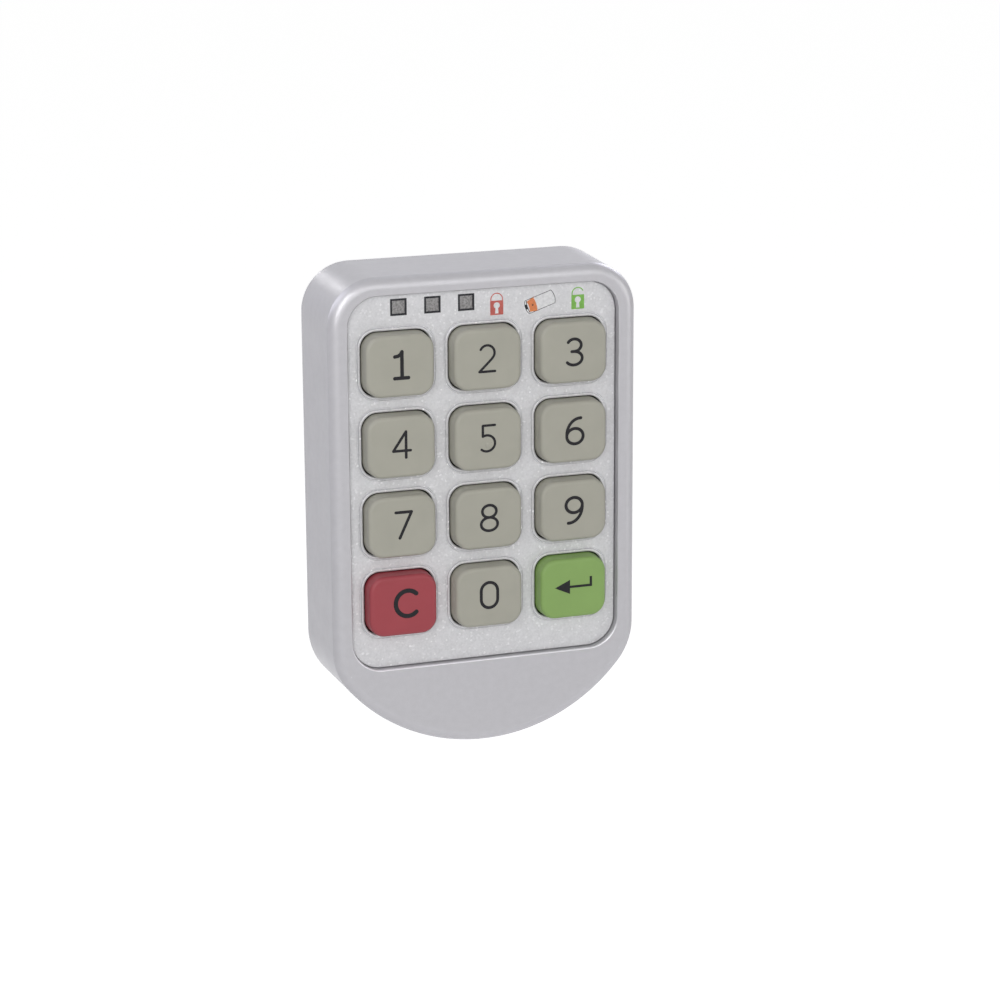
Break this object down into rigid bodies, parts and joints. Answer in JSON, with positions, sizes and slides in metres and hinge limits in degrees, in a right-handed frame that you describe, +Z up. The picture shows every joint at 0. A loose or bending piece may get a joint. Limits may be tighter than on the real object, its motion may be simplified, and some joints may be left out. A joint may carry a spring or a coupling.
{
  "type": "electronic cabinet lock",
  "caption": "Keypad cabinet lock with a round-bottomed housing, raised rubber keys, status windows and a motor-driven cam on a threaded barrel behind the door.",
  "frame": {"origin": "on the door face behind the housing, at mid-height of the housing and on its centre line", "axes": "+X right, +Y into the door, +Z up; the keys face -Y"},
  "size_m": [0.0735, 0.0522, 0.0956],
  "materials": {
    "housing_plastic": "satin grey, lightly textured",
    "label_film": "silver film with fine glitter",
    "key_beige": "smooth grey-beige silicone rubber",
    "key_red": "smooth red silicone rubber",
    "key_green": "smooth green silicone rubber",
    "mat_rubber": "matt silicone rubber",
    "window_lens": "grey diffusing lens",
    "lamp": "moulded lamp body",
    "board": "green solder resist",
    "dark_parts": "black moulded body",
    "base_plastic": "dark grey moulded, fine texture",
    "cell_jacket": "plain jacketed cell",
    "nickel_plate": "nickel plated",
    "steel_parts": "zinc plated steel",
    "gearbox_brass": "plain brass plates",
    "wheel_plastic": "white acetal"
  },
  "bodies": {
    "lock_body": {"barrel": "nickel_plate", "barrel_nut": "nickel_plate", "barrel_washer": "nickel_plate", "base_plate": "base_plastic", "base_screw_1": "steel_parts", "base_screw_2": "steel_parts", "base_screw_3": "steel_parts", "base_screw_4": "steel_parts", "battery_1": "cell_jacket", "battery_2": "cell_jacket", "battery_3": "cell_jacket", "battery_4": "cell_jacket", "battery_contact_1": "nickel_plate", "battery_contact_2": "nickel_plate", "battery_contact_3": "nickel_plate", "battery_contact_4": "nickel_plate", "battery_contact_5": "nickel_plate", "battery_cover": "base_plastic", "battery_spring_1": "nickel_plate", "battery_spring_2": "nickel_plate", "battery_spring_3": "nickel_plate", "battery_spring_4": "nickel_plate", "battery_tray": "base_plastic", "board_screw_1": "steel_parts", "board_screw_2": "steel_parts", "buzzer": "dark_parts", "circuit_board": "board", "controller_chip": "dark_parts", "cover_screw": "steel_parts", "front_housing": "housing_plastic", "gearbox": "gearbox_brass", "keypad_label": "label_film", "keypad_mat": "mat_rubber", "motor": "nickel_plate", "position_switch": "dark_parts", "status_lamp_1": "lamp", "status_lamp_2": "lamp", "status_lamp_3": "lamp", "status_window_1": "window_lens", "status_window_2": "window_lens", "status_window_3": "window_lens"},
    "key_1_cap": {"key_1": "key_beige"},
    "key_2_cap": {"key_2": "key_beige"},
    "key_3_cap": {"key_3": "key_beige"},
    "key_4_cap": {"key_4": "key_beige"},
    "key_5_cap": {"key_5": "key_beige"},
    "key_6_cap": {"key_6": "key_beige"},
    "key_7_cap": {"key_7": "key_beige"},
    "key_8_cap": {"key_8": "key_beige"},
    "key_9_cap": {"key_9": "key_beige"},
    "key_clear_cap": {"key_clear": "key_red"},
    "key_0_cap": {"key_0": "key_beige"},
    "key_enter_cap": {"key_enter": "key_green"},
    "cam_drive": {"spindle": "steel_parts", "worm_wheel": "wheel_plastic", "cam": "steel_parts", "cam_washer": "nickel_plate", "cam_bolt": "steel_parts"},
    "worm_shaft": {"worm": "steel_parts"}
  },
  "joints": [
    {"name": "key_1_press", "type": "slide", "parent": "lock_body", "child": "key_1_cap", "axis": [0, 1, 0], "range_m": [0, 0.0012], "stiffness_N_per_m": 400, "springref_m": -0.001},
    {"name": "key_2_press", "type": "slide", "parent": "lock_body", "child": "key_2_cap", "axis": [0, 1, 0], "range_m": [0, 0.0012], "stiffness_N_per_m": 400, "springref_m": -0.001},
    {"name": "key_3_press", "type": "slide", "parent": "lock_body", "child": "key_3_cap", "axis": [0, 1, 0], "range_m": [0, 0.0012], "stiffness_N_per_m": 400, "springref_m": -0.001},
    {"name": "key_4_press", "type": "slide", "parent": "lock_body", "child": "key_4_cap", "axis": [0, 1, 0], "range_m": [0, 0.0012], "stiffness_N_per_m": 400, "springref_m": -0.001},
    {"name": "key_5_press", "type": "slide", "parent": "lock_body", "child": "key_5_cap", "axis": [0, 1, 0], "range_m": [0, 0.0012], "stiffness_N_per_m": 400, "springref_m": -0.001},
    {"name": "key_6_press", "type": "slide", "parent": "lock_body", "child": "key_6_cap", "axis": [0, 1, 0], "range_m": [0, 0.0012], "stiffness_N_per_m": 400, "springref_m": -0.001},
    {"name": "key_7_press", "type": "slide", "parent": "lock_body", "child": "key_7_cap", "axis": [0, 1, 0], "range_m": [0, 0.0012], "stiffness_N_per_m": 400, "springref_m": -0.001},
    {"name": "key_8_press", "type": "slide", "parent": "lock_body", "child": "key_8_cap", "axis": [0, 1, 0], "range_m": [0, 0.0012], "stiffness_N_per_m": 400, "springref_m": -0.001},
    {"name": "key_9_press", "type": "slide", "parent": "lock_body", "child": "key_9_cap", "axis": [0, 1, 0], "range_m": [0, 0.0012], "stiffness_N_per_m": 400, "springref_m": -0.001},
    {"name": "key_clear_press", "type": "slide", "parent": "lock_body", "child": "key_clear_cap", "axis": [0, 1, 0], "range_m": [0, 0.0012], "stiffness_N_per_m": 400, "springref_m": -0.001},
    {"name": "key_0_press", "type": "slide", "parent": "lock_body", "child": "key_0_cap", "axis": [0, 1, 0], "range_m": [0, 0.0012], "stiffness_N_per_m": 400, "springref_m": -0.001},
    {"name": "key_enter_press", "type": "slide", "parent": "lock_body", "child": "key_enter_cap", "axis": [0, 1, 0], "range_m": [0, 0.0012], "stiffness_N_per_m": 400, "springref_m": -0.001},
    {"name": "cam_turn", "type": "hinge", "parent": "lock_body", "child": "cam_drive", "pos_m": [0, 0, -0.02], "axis": [0, -1, 0], "range_deg": [0, 90]},
    {"name": "worm_spin", "type": "hinge", "parent": "lock_body", "child": "worm_shaft", "pos_m": [0, -0.0072, -0.0104], "axis": [1, 0, 0], "range_deg": [0, 2160]}
  ],
  "couplings": [
    {"joint": "worm_spin", "follows": "cam_turn", "ratio": 24}
  ]
}
